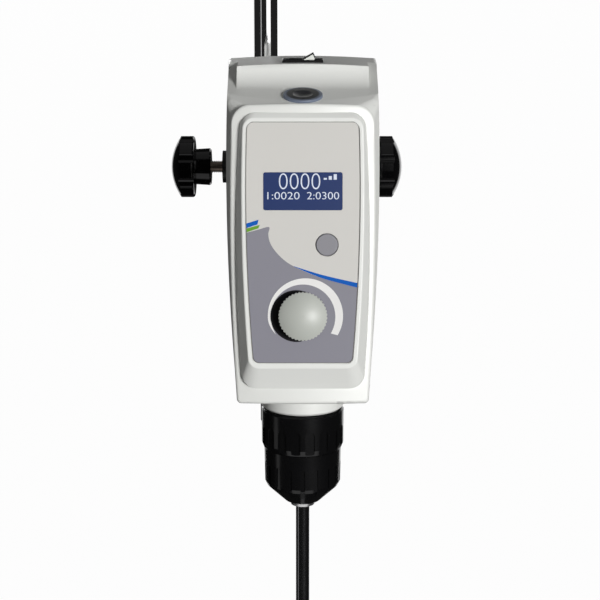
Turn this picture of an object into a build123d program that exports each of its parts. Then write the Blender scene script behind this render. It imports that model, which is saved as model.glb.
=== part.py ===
from build123d import *
import math
import os

os.makedirs("parts", exist_ok=True)

# ---------------------------------------------------------------- driving dimensions (mm)
# The spindle axis is the Z axis. Z = 0 is the underside of the housing, the panel faces -Y.
WALL = 2.6                 # moulded wall of the housing
PANEL_Y = -38.0            # front of the housing at its underside
PANEL_LEAN = 7.69          # the front leans back by this many degrees
PLATEAU_LEAN = 2.01        # the raised panel leans back by this much more
FRAME_DEPTH = 8.0          # front frame, from its face to the joint with the shell
FRAME_BOW = 190.0          # radius that bows the frame's face from side to side
HOUSING_TOP = 181.0
HOUSING_REAR = 97.0
REAR_PLATE = 3.0
# widest half width, level of the widest place, loss per mm squared away from it
SHELL_NEAR_Y = -60.0
SHELL_NEAR = (41.97, 120.6, 3.746e-4)     # housing sides where SHELL_NEAR_Y crosses them
SHELL_FAR = (46.12, 121.1, 4.111e-4)      # and at HOUSING_REAR
LIP_X = 38.0               # inner side of the lips beside the scoop
LIP_Y0, LIP_Z0 = -8.5, 163.6              # the lips fall from the top to here
LIP_Y1, LIP_Z1 = 64.0, 181.9
FRAME_SIDE = (40.4, 105.0, 3.45e-4)
FOOT_SIDE = (37.8, 88.0, 5.0e-4)
STEP_SIDE = (36.0, 88.0, 5.0e-4)
PLATEAU_SIDE = (33.5, 118.0, 4.2e-4)
LABEL_SIDE = (31.3, 118.0, 4.65e-4)
LCD_W, LCD_H, LCD_MID = 43.4, 20.8, 118.0
KNOB_MID = 50.0            # height of the control knob up the panel
KNOB_R, KNOB_H = 13.3, 12.5
KEY_X, KEY_MID, KEY_R = 13.2, 88.8, 6.0
CAP_R = 11.1               # cap over the spindle
CAP_TILT = 15.0
CAP_Y, CAP_Z = 2.8, 166.35
SWITCH_Y = 45.0            # rocker switch on the rear top
SWITCH_W, SWITCH_D = 23.6, 17.0
SPINDLE_R, BORE_R = 7.5, 4.08
SHAFT_R, SHAFT_TOP, SHAFT_LEN = 4.0, 148.0, 350.0
NECK_R, NECK_H = 23.6, 11.4
CHUCK_R1, CHUCK_R2 = 23.8, 22.3
CHUCK_Z0, CHUCK_Z1, CHUCK_Z2, CHUCK_Z3 = -12.2, -35.6, -56.0, -69.6
NOSE_R = 6.9
JAW_LEAN, JAW_R = 12.0, 3.0
GEAR_MODULE, GEAR_TEETH, PINION_TEETH = 1.25, 40, 14
GEAR_Z0, GEAR_Z1 = 13.0, 21.0
BRACKET_Z = 138.0
MOTOR_R, MOTOR_Z0, MOTOR_Z1 = 25.0, 30.0, 104.0
ROD_R, ROD_X, ROD_Y = 8.0, -24.0, 178.0
ROD_LOW, ROD_HIGH = -55.0, 245.0
SPIGOT_R, SPIGOT_LEN = 5.0, 20.0         # foot of the support rod
SEAT_LEN, SEAT_CUT = 30.0, 0.25          # impeller seat at the end of the stirring shaft
ARM_R, ARM_Z, ARM_FRONT, ARM_REAR = 6.5, 103.5, 84.0, 235.0
BOSS_LEFT, BOSS_RIGHT = -46.0, 25.0
BOSS_D, BOSS_H = 36.0, 34.0
BOSS_END_R, BOSS_END = 10.8, 7.5
GRIP_R, GRIP_HUB_R = 20.5, 12.4
STUD_R = 3.9
RUN = 0.05                 # running clearance on radius
GAP = 0.35                 # clearance between neighbouring parts

GEAR_R = GEAR_MODULE * GEAR_TEETH / 2
PINION_R = GEAR_MODULE * PINION_TEETH / 2
MOTOR_Y = GEAR_R + PINION_R

# ---------------------------------------------------------------- frames
lean = math.radians(PANEL_LEAN)
FRONT = Plane(origin=(0, PANEL_Y, 0), x_dir=(1, 0, 0), z_dir=(0, -math.cos(lean), math.sin(lean)))
lean2 = math.radians(PANEL_LEAN + PLATEAU_LEAN)
PANEL_RISE = 7.84          # height of the raised panel over the frame, carried down to v = 0
panel_origin = FRONT.from_local_coords((0, 0, PANEL_RISE))
PANEL = Plane(origin=panel_origin, x_dir=(1, 0, 0), z_dir=(0, -math.cos(lean2), math.sin(lean2)))
cap_lean = math.radians(CAP_TILT)
CAP = Plane(origin=(0, CAP_Y, CAP_Z), x_dir=(1, 0, 0), z_dir=(0, -math.sin(cap_lean), math.cos(cap_lean)))


# ---------------------------------------------------------------- small helpers
def cyl(radius, z0, z1, x=0.0, y=0.0):
    """Cylinder along Z between two heights."""
    return Pos(x, y, z0) * Cylinder(radius, z1 - z0, align=(Align.CENTER, Align.CENTER, Align.MIN))


def tube(outer, inner, z0, z1, x=0.0, y=0.0):
    """Plain tube along Z."""
    return cyl(outer, z0, z1, x, y) - cyl(inner, z0 - 1, z1 + 1, x, y)


def cyl_x(radius, x0, x1, y=0.0, z=0.0):
    """Cylinder along X."""
    return Pos(x0, y, z) * Rot(0, 90, 0) * cyl(radius, 0, x1 - x0)


def cyl_y(radius, y0, y1, x=0.0, z=0.0):
    """Cylinder along Y."""
    return Pos(x, y0, z) * Rot(-90, 0, 0) * cyl(radius, 0, y1 - y0)


def block(x0, x1, y0, y1, z0, z1):
    """Box between two corners."""
    return Pos(x0, y0, z0) * Box(x1 - x0, y1 - y0, z1 - z0, align=(Align.MIN, Align.MIN, Align.MIN))


def revolve_z(points):
    """Solid of revolution from (radius, height) points."""
    face = make_face(Polyline(*[(r, z) for r, z in points], close=True))
    return revolve(Plane.XZ * face, Axis.Z)


def half_width(side, v):
    """Half width of a bowed outline at a level."""
    widest, level, bow = side
    return widest - bow * (v - level) ** 2


def outline(side, low, high, r_low, r_high, crown=0.0, inset=0.0):
    """Closed outline with bowed sides, rounded corners and a slightly crowned top."""
    lo = low + inset
    hi = high - inset
    mid = (lo + hi) / 2
    a = half_width(side, lo) - inset
    b = half_width(side, mid) - inset
    c = half_width(side, hi) - inset
    right = ThreePointArc((a, lo), (b, mid), (c, hi))
    left = ThreePointArc((-c, hi), (-b, mid), (-a, lo))
    bottom = Line((-a, lo), (a, lo))
    top = ThreePointArc((c, hi), (0, hi + crown), (-c, hi)) if crown else Line((c, hi), (-c, hi))
    face = make_face(Curve() + [right, top, left, bottom])
    corners = face.vertices().sort_by(Axis.Y)
    face = fillet(corners[:2], max(r_low - inset * 0.5, 0.6))
    corners = [p for p in face.vertices() if p.Y > hi - 0.01 and abs(abs(p.X) - c) < 0.01]
    return fillet(corners, max(r_high - inset * 0.5, 0.6))


def save(shape, name):
    """Write one node."""
    export_step(shape, f"parts/{name}.step")


def group(shapes):
    """Several separate solids as one node."""
    return Compound(children=[s for shape in shapes for s in shape.solids()])


def soften(shape, edges, radius):
    """Round edges, stepping the radius down if the full one does not fit."""
    for size in (radius, radius * 0.7, radius * 0.4):
        try:
            rounded = fillet(edges, size)
            if rounded.is_valid:
                return rounded
        except Exception:
            continue
    return shape


def screw_head(radius, height, socket):
    """Pan head with a hexagon socket, its seat at Z = 0."""
    head = cyl(radius, 0, height)
    head = fillet(head.edges().group_by(Axis.Z)[-1], height * 0.35)
    return head - Pos(0, 0, height * 0.4) * extrude(RegularPolygon(socket, 6), height)


# ---------------------------------------------------------------- front frame
def frame_block(t):
    """The frame without its raised panel; t insets it to make the hollow."""
    back = -FRAME_DEPTH if t == 0 else -FRAME_DEPTH - 4
    face = outline(FRAME_SIDE, 0.0, 165.0, 2.6, 10.5, crown=0.8, inset=t)
    prism = FRONT * Pos(0, 0, back) * extrude(face, -back + 3)
    bow = FRONT * Pos(0, 80, -FRAME_BOW) * Rot(90, 0, 0) * Cylinder(FRAME_BOW - t, 300)
    return prism & bow


def plateau(t):
    """The raised panel with its sloped walls."""
    foot = outline(FOOT_SIDE, 8.4, 161.4, 8.5, 9.0, inset=t)
    step = outline(STEP_SIDE, 8.9, 160.7, 8.0, 8.5, inset=t)
    top = outline(PLATEAU_SIDE, 21.0, 157.9, 6.0, 6.5, inset=t)
    low = loft([FRONT * Pos(0, 0, -6) * foot, FRONT * Pos(0, 0, -t) * step], ruled=True)
    high = loft([FRONT * Pos(0, 0, -t) * step, PANEL * Pos(0, 0, -t) * top], ruled=True)
    return low + high


def build_front_cover():
    """Moulded front frame with the raised panel, hollow behind."""
    base = frame_block(0)
    rim = [e for e in base.edges() if FRONT.to_local_coords(e.center()).Z > -FRAME_DEPTH + 2.5]
    base = soften(base, rim, 1.8)
    body = base + plateau(0)
    top_edges = [e for e in body.edges() if abs(PANEL.to_local_coords(e.center()).Z) < 0.02]
    body = soften(body, top_edges, 0.9)
    body = body - frame_block(WALL) - plateau(WALL)
    label = outline(LABEL_SIDE, 23.9, 155.8, 3.6, 5.0, inset=-0.3)
    body = body - PANEL * Pos(0, 0, -0.9) * extrude(label, 3)
    body = body - PANEL * Pos(0, LCD_MID, -6) * Box(LCD_W - 3, LCD_H - 3, 12)
    body = body - PANEL * Pos(0, KNOB_MID, -6) * Cylinder(3.8, 12)
    body = body - PANEL * Pos(KEY_X, KEY_MID, -6) * Cylinder(KEY_R + GAP, 12)
    return body


def build_label():
    """Printed panel sheet let into the raised panel."""
    sheet = PANEL * Pos(0, 0, -0.9) * extrude(outline(LABEL_SIDE, 23.9, 155.8, 3.6, 5.0), 0.6)
    window = extrude(fillet(Rectangle(LCD_W, LCD_H).vertices(), 1.2), 4)
    sheet = sheet - PANEL * Pos(0, LCD_MID, -2) * window
    sheet = sheet - PANEL * Pos(0, KNOB_MID, 0) * Cylinder(3.8, 6)
    return sheet - PANEL * Pos(KEY_X, KEY_MID, 0) * Cylinder(KEY_R + GAP, 6)


def build_lcd_window():
    """Clear window of the display, let into the sheet."""
    pane = extrude(fillet(Rectangle(LCD_W - 0.1, LCD_H - 0.1).vertices(), 1.15), 0.7)
    return PANEL * Pos(0, LCD_MID, -0.9) * pane


def build_lcd_module():
    """Display glass on its metal-framed carrier, behind the panel."""
    glass = Box(LCD_W - 6, LCD_H - 5, 1.8)
    carrier = Pos(0, 0, -4.1) * Box(LCD_W - 2, LCD_H - 1, 6.4)
    return PANEL * Pos(0, LCD_MID, -WALL - 0.9) * (glass + carrier)


def build_key():
    """Push key with a stem that reaches the switch on the display board."""
    key = cyl(KEY_R, -1.6, 0.0)
    key = fillet(key.edges().group_by(Axis.Z)[-1], 0.5)
    flange = cyl(KEY_R + 1.4, -4.4, -3.6) + cyl(KEY_R - 0.4, -3.8, -1.4)
    return PANEL * Pos(KEY_X, KEY_MID, 0.25) * (key + flange + cyl(1.5, -8.8, -4))


POST_X = LCD_W / 2 + 2.8
BOARD_POSTS = ((-POST_X, 36), (POST_X, 36), (-POST_X, 119), (POST_X, 119))
BOARD_DEPTH = -11.6


def build_display_board():
    """Circuit board that carries the display, the key switch and the encoder."""
    return PANEL * Pos(0, 77.5, BOARD_DEPTH) * Box(2 * POST_X + 5, 92, 1.6)


def build_display_posts():
    """Moulded posts between the panel and the display board."""
    posts = [PANEL * Pos(x, v, 0) * cyl(2.2, BOARD_DEPTH + 0.8, -WALL) for x, v in BOARD_POSTS]
    return group(posts)


def build_key_switch():
    """Tact switch under the key."""
    body = Box(6, 6, 1.0) + Pos(0, 0, 0.2) * cyl(1.6, 0.2, 0.9)
    return PANEL * Pos(KEY_X, KEY_MID, BOARD_DEPTH + 1.3) * body


def build_encoder():
    """Rotary encoder with its threaded bush and nut."""
    body = Pos(0, 0, -4.4) * Box(12.4, 13.2, 5.6)
    bush = cyl(3.5, -1.6, 2.9) - cyl(3.0 + RUN, -3, 4)
    body = body - cyl(3.0 + RUN, -3.4, 1)
    return PANEL * Pos(0, KNOB_MID, -WALL - 0.9) * (Pos(0, 0, 0) * body + bush)


def build_encoder_shaft():
    """Round shaft of the encoder; it is pushed in to start and stop."""
    shaft = cyl(3.0, 0.9, 13.0) + cyl(3.0, -3.4 + 1.4, 1.0)
    return PANEL * Pos(0, KNOB_MID, -WALL - 0.9) * shaft


def build_knob_skirt():
    """Black plain skirt of the control knob."""
    disc = cyl(KNOB_R - 0.35, 0.9, 4.4) - cyl(3.0 + RUN, 0, 5)
    disc = fillet(disc.edges().group_by(Axis.Z)[0].sort_by(SortBy.RADIUS)[-1:], 0.4)
    return PANEL * Pos(0, KNOB_MID, -0.3) * disc


def build_knob_cap():
    """Domed cap of the control knob with fine scallops round its edge."""
    rise = 4.2
    ball = (KNOB_R ** 2 + rise ** 2) / (2 * rise)
    cap = cyl(KNOB_R, 4.4, KNOB_H) & Pos(0, 0, KNOB_H - ball) * Sphere(ball)
    cap = soften(cap, cap.edges().group_by(Axis.Z)[-1], 1.2)
    for i in range(42):
        cap = cap - Rot(0, 0, i * 360 / 42) * cyl(0.62, 3, 13, KNOB_R + 0.18, 0)
    cap = cap - cyl(3.0 + RUN, 3, KNOB_H - 2.2)
    return PANEL * Pos(0, KNOB_MID, -0.3) * cap


# ---------------------------------------------------------------- rear shell
COVE_TURN = 14.5           # where the sloped floor of the scoop starts to rise
COVE_R, COVE_END = 19.4, 70.0


def cove_block(t):
    """The space scooped out of the top, lowered and widened by t for the inside."""
    slope = math.tan(cap_lean)
    turn = (COVE_TURN + t * 0.4, CAP_Z + slope * (COVE_TURN - CAP_Y) - t)
    start = (turn[0] - 70, turn[1] - 70 * slope)

    def on_rise(angle):
        a = math.radians(angle)
        y = turn[0] + COVE_R * (math.sin(a) - math.sin(cap_lean))
        return (y, turn[1] + COVE_R * (math.cos(cap_lean) - math.cos(a)))

    end = on_rise(COVE_END)
    line = Line(start, turn)
    rise = ThreePointArc(turn, on_rise((COVE_END + CAP_TILT) / 2), end)
    lid = Polyline(end, (end[0] + 3, end[1] + 9), (end[0] + 3, 205), (start[0], 205), start)
    side = make_face(Curve() + [line, rise, lid])
    half = LIP_X + t
    return Pos(-half, 0, 0) * extrude(Plane.YZ * side, 2 * half)


def shell_block(t):
    """Housing body before the scoop; t insets it to make the hollow."""
    rear = HOUSING_REAR + (5 if t else 0)
    faces = [Pos(0, y, 0) * (Plane.XZ * shell_face(y, t)) for y in (SHELL_NEAR_Y, rear)]
    return loft(faces, ruled=True)


def shell_side(y):
    """Side law of the housing, which widens a little towards the back."""
    share = (y - SHELL_NEAR_Y) / (HOUSING_REAR - SHELL_NEAR_Y)
    return tuple(a + share * (b - a) for a, b in zip(SHELL_NEAR, SHELL_FAR))


def shell_face(y, t=0.0):
    """Cross-section of the housing at a depth."""
    return outline(shell_side(y), 0.0, HOUSING_TOP, 2.8, 3.6, crown=1.6, inset=t)


def lip_block(t):
    """The space above the lips that run down beside the scoop."""
    fall = (LIP_Z1 - LIP_Z0) / (LIP_Y1 - LIP_Y0)
    low = LIP_Z0 - fall * (LIP_Y0 - SHELL_NEAR_Y) - t
    pts = ((SHELL_NEAR_Y, low), (LIP_Y1, LIP_Z1 - t), (LIP_Y1, 205), (SHELL_NEAR_Y, 205))
    side = Plane.YZ * make_face(Polyline(*pts, close=True))
    right = Pos(LIP_X - t, 0, 0) * extrude(side, 40)
    return right + mirror(right, about=Plane.YZ)


def lip_edge(edge, side):
    """True for the long inner and outer edges of a lip."""
    mid = edge.center()
    level = LIP_Z0 + (mid.Y - LIP_Y0) * (LIP_Z1 - LIP_Z0) / (LIP_Y1 - LIP_Y0)
    return side * mid.X > LIP_X - 0.1 and abs(mid.Z - level) < 0.3 and edge.length > 12


def build_rear_shell():
    """Housing shell: sides, top with its scoop, and underside."""
    body = shell_block(0)
    ahead = FRONT * Pos(0, 80, -FRAME_DEPTH) * Box(200, 400, 100, align=(Align.CENTER, Align.CENTER, Align.MIN))
    body = body - ahead
    front = [e for e in body.edges() if abs(FRONT.to_local_coords(e.center()).Z + FRAME_DEPTH) < 0.05]
    body = soften(body, front, 1.6)
    body = body - cove_block(0) - lip_block(0)
    for side in (-1, 1):
        lip = [e for e in body.edges() if lip_edge(e, side)]
        body = soften(body, lip, 1.2)
    rim = [e for e in body.edges() if e.center().Z > 181.2 and abs(e.center().X) < 1 and e.length > 60]
    body = soften(body, [e for e in rim if e.center().Y < 60], 0.8)
    body = body - (shell_block(WALL) - cove_block(WALL) - lip_block(WALL))
    body = body - CAP * Cylinder(CAP_R - 1.8, 30)
    body = body - Pos(0, SWITCH_Y, HOUSING_TOP) * Box(SWITCH_W - 2.4, SWITCH_D - 3.0, 20)
    body = body - cyl(NECK_R - 3.0, -5, 10)
    for x in (-30, 30):
        body = body - cyl(2.1, -5, 10, x, 30) - cyl(2.1, -5, 10, x, 84)
    for i in range(7):
        body = body - Pos(0, 54 + i * 5, 0) * Box(34, 2.2, 12)
    return body


def build_rear_plate():
    """Back plate with ventilation slots, inlet opening and arm socket hole."""
    plate = Pos(0, HOUSING_REAR, 0) * extrude(Plane.XZ * shell_face(HOUSING_REAR), -REAR_PLATE)
    outer = plate.edges().filter_by(lambda e: abs(e.center().Y - HOUSING_REAR - REAR_PLATE) < 0.01)
    plate = soften(plate, outer, 1.2)
    for i in range(9):
        plate = plate - Pos(0, HOUSING_REAR, 136 + i * 4.4) * Box(46, 20, 2.0)
    plate = plate - Pos(0, HOUSING_REAR, 30) * Box(27.6, 20, 31.6)
    plate = plate - cyl_y(12.1, 90, 110, 0, ARM_Z)
    for x, z in REAR_SCREWS:
        plate = plate - cyl_y(1.7, 90, 110, x, z)
    return plate


REAR_SCREWS = ((-32, 10), (32, 10), (-35.5, 170), (35.5, 170), (-36.5, 90), (36.5, 90))


def build_rear_screws():
    """Socket screws of the back plate."""
    screws = []
    for x, z in REAR_SCREWS:
        screw = screw_head(3.1, 2.0, 1.5) + cyl(1.65, -9, 0.2)
        screws.append(Pos(x, HOUSING_REAR + REAR_PLATE, z) * Rot(-90, 0, 0) * screw)
    return group(screws)


def build_screw_bosses():
    """Moulded blocks inside the shell that take the back plate's screws."""
    posts = []
    for x, z in REAR_SCREWS:
        s = 1 if x > 0 else -1
        reach = min(half_width(shell_side(82), z + h) for h in (-4.2, 4.2)) - WALL - 0.05
        post = block(min(x - 4 * s, reach * s), max(x - 4 * s, reach * s), 82, HOUSING_REAR, z - 4.2, z + 4.2)
        posts.append(post - cyl_y(1.75, 80, 100, x, z))
    return group(posts)


def build_spindle_cap():
    """Dished cap that closes the hole above the spindle."""
    rim = cyl(CAP_R, 0.0, 1.5)
    rim = fillet(rim.edges().group_by(Axis.Z)[-1], 0.6)
    dish = Pos(0, 0, 20.9) * Sphere(20.2)
    skirt = tube(CAP_R - 2.0, CAP_R - 3.6, -6.0, 0.1)
    return CAP * (rim - dish + skirt)


def build_switch_body():
    """Bezel and box of the rocker switch."""
    bezel = Pos(0, 0, 0.75) * Box(SWITCH_W, SWITCH_D, 1.5)
    bezel = soften(bezel, bezel.edges().group_by(Axis.Z)[-1], 0.6)
    box = Pos(0, 0, -8.0) * Box(SWITCH_W - 3.0, SWITCH_D - 3.6, 17)
    cup = Pos(0, 0, 0.8) * Box(16.2, 11.4, 8.4)
    tabs = [Pos(x, 0, -20.0) * Box(0.8, 4.8, 8.0) for x in (-6, 0, 6)]
    body = bezel + box - cup
    for tab in tabs:
        body = body + tab
    return Pos(0, SWITCH_Y, SWITCH_SEAT) * body


SWITCH_SEAT = HOUSING_TOP + 1.6


ROCKER_Z = SWITCH_SEAT + 1.0
ROCKER_TILT = 14.0


def build_rocker():
    """Rocker of the switch, its right half raised."""
    pts = ((-7.0, 2.6), (0.0, 0.7), (7.0, 2.6), (7.6, -1.2), (2.0, -2.8), (-2.0, -2.8), (-7.6, -1.2))
    side = make_face(Polyline(*pts, close=True))
    rocker = extrude(Plane.XZ * side, 5.4, both=True)
    return Pos(0, SWITCH_Y, ROCKER_Z) * Rot(0, -ROCKER_TILT, 0) * rocker


# ---------------------------------------------------------------- drive inside the head
def gear(teeth, z0, z1, bore, phase=0.0):
    """Spur gear with straight-sided teeth, a little thinner than the pitch asks."""
    r = GEAR_MODULE * teeth / 2
    pitch = 2 * math.pi / teeth
    pts = []
    for i in range(teeth):
        mid = phase + i * pitch
        root = r - 1.25 * GEAR_MODULE
        tip = r + 0.95 * GEAR_MODULE
        for radius, share in ((root, -0.36), (tip, -0.11), (tip, 0.11), (root, 0.36)):
            a = mid + share * pitch
            pts.append((radius * math.cos(a), radius * math.sin(a)))
    wheel = Pos(0, 0, z0) * extrude(make_face(Polyline(*pts, close=True)), z1 - z0)
    return wheel - cyl(bore, z0 - 1, z1 + 1)


def build_spindle():
    """Hollow spindle with a shoulder above the lower bearing."""
    body = cyl(SPINDLE_R, -30.0, 157.0) + cyl(SPINDLE_R + 1.6, 1.0, 3.4)
    body = body + cyl(SPINDLE_R + 1.4, BRACKET_Z - 1.0, BRACKET_Z + 2.0)
    return body - cyl(BORE_R, -40, 170)


def bearing_outer(z0, outer, inner):
    """Outer ring with its balls; inner is the outside radius of the inner ring."""
    mid = z0 + 4.5
    path = (outer + inner) / 2 - 0.6
    ball = 1.9 if outer > 15 else 1.5
    ring = tube(outer, path + ball * 0.5, z0, z0 + 9)
    ring = ring - tube(path + ball + 0.05, 1, mid - ball - 0.05, mid + ball + 0.05)
    angles = [i * math.pi / 4 for i in range(8)]
    balls = [Pos(path * math.cos(a), path * math.sin(a), mid) * Sphere(ball) for a in angles]
    return group([ring] + balls)


def bearing_inner(z0, outer):
    """Inner ring, pressed on the spindle."""
    return tube(outer, SPINDLE_R, z0, z0 + 9)


def build_neck():
    """White collar under the housing that holds the lower bearing."""
    body = revolve_z([(NECK_R, -0.0), (NECK_R, -NECK_H + 1.2), (NECK_R - 1.2, -NECK_H), (12.0, -NECK_H),
                      (12.0, -8.4), (16.0, -8.4), (16.0, 3.0), (20.0, 3.0), (20.0, -0.0)])
    return body


def build_base_plate():
    """Bottom plate of the gear frame, screwed to the housing floor."""
    plate = block(-32, 32, -18, 67, WALL, 7.0)
    plate = soften(plate, plate.edges().filter_by(Axis.Z), 5)
    plate = plate - cyl(20.2, 0, 10)
    for x, y in FRAME_POSTS:
        plate = plate - cyl(1.6, 0, 10, x, y)
    return plate


FRAME_POSTS = ((-28, -12), (28, -12), (-28, 61), (28, 61))
TALL_POSTS = ((-28, -1), (28, -1), (-28, 61), (28, 61))


def build_frame_posts():
    """Spacer posts between the plates and up to the top bearing bracket."""
    low = [cyl(3.5, 7.0, 25.0, x, y) for x, y in FRAME_POSTS]
    high = [cyl(3.5, 29.0, BRACKET_Z, x, y) for x, y in TALL_POSTS]
    return group(low + high)


def build_motor_plate():
    """Plate that carries the motor above the gears."""
    plate = block(-32, 32, -18, 67, 25.0, 29.0)
    plate = soften(plate, plate.edges().filter_by(Axis.Z), 5)
    plate = plate - cyl(SPINDLE_R + 2.6, 20, 32) - cyl(7.0, 20, 32, 0, MOTOR_Y)
    return plate


def build_top_bracket():
    """Top plate with the seat of the upper bearing."""
    z = BRACKET_Z
    plate = block(-32, 32, -7, 67, z, z + 4) + cyl(16.4, z, z + 10)
    plate = plate - cyl(14.0, z + 2, z + 20) - cyl(11.5, z - 10, z + 20)
    return plate - cyl(16, z - 5, z + 15, 0, 42)


def build_motor():
    """Motor can with its end caps."""
    can = cyl(MOTOR_R, MOTOR_Z0 + 3, MOTOR_Z1, 0, MOTOR_Y)
    flange = cyl(MOTOR_R - 2.0, MOTOR_Z0 - 1, MOTOR_Z0 + 3.2, 0, MOTOR_Y)
    cap = cyl(MOTOR_R - 4.0, MOTOR_Z1 - 0.2, MOTOR_Z1 + 5, 0, MOTOR_Y)
    body = soften(can, can.edges(), 1.2) + flange + cap
    return body - cyl(3.0 + RUN, 0, MOTOR_Z0 + 30, 0, MOTOR_Y)


def build_motor_shaft():
    """Motor shaft, pointing down into the pinion."""
    return cyl(3.0, GEAR_Z0 - 1.0, MOTOR_Z0 + 28, 0, MOTOR_Y)


def build_motor_screws():
    """Screws that hold the motor to its plate from below."""
    screws = []
    for a in (45, 135, 225, 315):
        x = 15.0 * math.cos(math.radians(a))
        y = MOTOR_Y + 15.0 * math.sin(math.radians(a))
        screws.append(Pos(x, y, 25.0) * Rot(180, 0, 0) * screw_head(2.7, 1.8, 1.3))
    return group(screws)


def build_main_board():
    """Drive electronics standing behind the motor."""
    return block(-30, 30, 76.0, 77.6, 52, 134)


def build_board_posts():
    """Spacers between the drive electronics and the back plate."""
    return group([cyl_y(2.4, 77.6, HOUSING_REAR, x, z) for x in (-27, 27) for z in (55, 131)])


def build_board_parts():
    """Large components of the drive electronics."""
    caps = [cyl_y(5.0, 66.0, 76.0, x, z) for x, z in ((-18, 94), (-6, 94), (18, 96))]
    heat = block(-22, 4, 72.6, 76.0, 112, 128)
    relay = block(10, 26, 68.0, 76.0, 112, 126)
    plug = block(-24, -6, 71.0, 76.0, 56, 62)
    return group(caps + [heat, relay, plug])


def build_inlet():
    """Mains inlet with its fuse compartment."""
    flange = Pos(0, HOUSING_REAR + REAR_PLATE + 1.2, 30) * Box(31.0, 2.4, 35.0)
    flange = soften(flange, flange.edges().filter_by(Axis.Y), 2.5)
    box = block(-13.6, 13.6, 78.0, HOUSING_REAR + REAR_PLATE + 0.1, 14.4, 45.6)
    well = block(-12.0, 12.0, 84.0, 110, 25.5, 42.5)
    drawer = block(-12.0, 12.0, 80.0, 110, 16.0, 23.6)
    body = flange + box - well - drawer
    for x, z in ((-7, 31.5), (0, 37.0), (7, 31.5)):
        body = body + block(x - 1, x + 1, 83.9, 98.0, z - 2, z + 2)
    return body


def build_fuse_drawer():
    """Pull-out fuse drawer under the mains inlet."""
    face = block(-11.6, 11.6, 100.6, 104.4, 16.4, 23.2)
    tray = block(-11.0, 11.0, 82.0, 100.7, 17.0, 22.6)
    tray = tray - block(-9.6, -0.6, 84.0, 99.0, 18.4, 25.0) - block(0.6, 9.6, 84.0, 99.0, 18.4, 25.0)
    grip = block(-4, 4, 102.8, 110, 18.4, 21.2)
    return face + tray - grip


def build_fuses():
    """Two glass fuses in the drawer."""
    return group([cyl_y(2.5, 84.4, 98.6, x, 20.9) for x in (-5.1, 5.1)])


# ---------------------------------------------------------------- chuck
def build_chuck_body():
    """Steel core of the chuck, screwed on the spindle, with three inclined jaw bores."""
    core = cyl(15.8, CHUCK_Z3 + 18.8, CHUCK_Z0 - 1.0) + cyl(12.4, CHUCK_Z3 + 11.3, CHUCK_Z3 + 18.9)
    core = core - cyl(SPINDLE_R, -30, 0) - cyl(BORE_R + 0.3, -90, 0)
    for i in range(3):
        core = core - jaw_place(i) * cyl(JAW_R + RUN, -20, 27)
    return core


def jaw_place(i):
    """Frame of jaw i: its own axis leans towards the shaft."""
    return Rot(0, 0, 90 + 120 * i) * Pos(SHAFT_R + JAW_R + 0.1, 0, CHUCK_Z3 + 3.3) * Rot(0, JAW_LEAN, 0)


def build_jaw(i):
    """One inclined jaw, cut to bear on the shaft."""
    pin = jaw_place(i) * cyl(JAW_R, -6, 20.0)
    pin = pin - cyl(SHAFT_R + RUN + 0.01, -100, 0)
    pin = pin - block(-20, 20, -20, 20, -90, CHUCK_Z3 + 5.3)
    return pin.solids().sort_by(SortBy.VOLUME)[-1]


def arch(width, low, high, depth):
    """Groove cutter with an arched top, cut to a depth, lying along X."""
    face = Rectangle(width, high - low - width / 2, align=(Align.CENTER, Align.MIN))
    face = face + Pos(0, high - low - width / 2) * Circle(width / 2)
    return Pos(0, 0, low) * extrude(Plane.YZ * face, depth, both=True)


def build_chuck_upper():
    """Upper holding sleeve with arched flutes."""
    body = revolve_z([(15.8, CHUCK_Z0), (CHUCK_R1 - 1.0, CHUCK_Z0), (CHUCK_R1, CHUCK_Z0 - 1.0),
                      (CHUCK_R1, CHUCK_Z1 + 3.4), (CHUCK_R2 + 0.3, CHUCK_Z1 + 0.2), (15.8, CHUCK_Z1 + 0.2)])
    for i in range(18):
        cutter = Pos(CHUCK_R1 + 0.7, 0, 0) * arch(5.4, CHUCK_Z1 - 1, -21.0, 1.7)
        body = body - Rot(0, 0, i * 20) * cutter
    return body


def build_chuck_lower():
    """Turning sleeve that opens and closes the jaws, tapering to the nose."""
    body = revolve_z([(18.4, CHUCK_Z1 - 0.2), (CHUCK_R2, CHUCK_Z1 - 0.2), (CHUCK_R2 - 0.4, CHUCK_Z2),
                      (CHUCK_R2 - 1.6, CHUCK_Z2 - 2.4), (NOSE_R + 3.4, CHUCK_Z3 + 1.4), (NOSE_R + 2.4, CHUCK_Z3 + 0.9),
                      (9.6, CHUCK_Z3 + 3.2), (11.6, CHUCK_Z3 + 5.3), (14.2, CHUCK_Z3 + 12.8),
                      (18.4, CHUCK_Z3 + 18.3)])
    for i in range(18):
        cutter = Pos(CHUCK_R2 + 0.7, 0, 0) * arch(2.6, CHUCK_Z2 - 10, -44.0, 1.7)
        slope = Pos(16.6, 0, CHUCK_Z3 + 6.3) * Rot(0, 43, 0) * Box(1.6, 2.6, 14.0)
        body = body - Rot(0, 0, i * 20 + 10) * cutter - Rot(0, 0, i * 20 + 10) * slope
    return body


def build_chuck_nut():
    """Threaded ring inside the sleeve that drives the jaws."""
    return tube(18.4, 16.0, -44.6, -38.0)


def build_nose_ring():
    """Bright steel ring at the chuck's mouth."""
    return revolve_z([(9.4, CHUCK_Z3 + 3.4), (9.2, CHUCK_Z3 + 1.0), (NOSE_R + 0.5, CHUCK_Z3), (NOSE_R, CHUCK_Z3 - 1.6),
                      (NOSE_R - 0.6, CHUCK_Z3 - 1.9), (NOSE_R - 1.2, CHUCK_Z3 - 1.9), (8.6, CHUCK_Z3 + 3.4)])


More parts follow.
